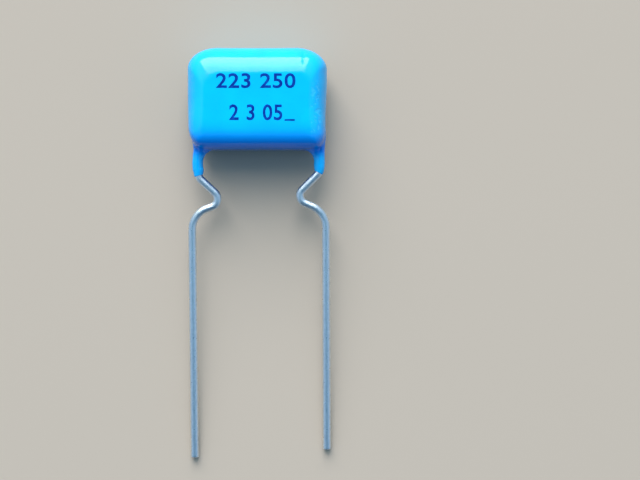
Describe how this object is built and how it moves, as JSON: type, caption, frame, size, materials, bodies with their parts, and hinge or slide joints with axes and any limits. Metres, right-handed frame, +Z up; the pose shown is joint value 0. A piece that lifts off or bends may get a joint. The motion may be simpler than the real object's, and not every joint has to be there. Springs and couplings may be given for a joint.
{
  "type": "polyester film capacitor",
  "caption": "Film capacitor with a glossy dipped epoxy body, rounded like a pillow, and kinked wire leads that hold it off a circuit board.",
  "frame": {"origin": "middle of the body's flat underside, on the surface that it lies on", "axes": "+Z up, out of the body's marked face; the leads run towards -Y; +X from the left lead to the right lead"},
  "size_m": [0.0107, 0.031, 0.0044],
  "materials": {
    "blue_epoxy": "glossy dipped epoxy",
    "metallised_film": "satin",
    "sprayed_metal": "matte, grainy",
    "tinned_wire": "drawn and tinned",
    "marking_ink": "printed"
  },
  "bodies": {
    "root": {"epoxy_coat": "blue_epoxy", "film_winding": "metallised_film", "end_contact_left": "sprayed_metal", "end_contact_right": "sprayed_metal", "lead_left": "tinned_wire", "lead_right": "tinned_wire"}
  },
  "joints": []
}
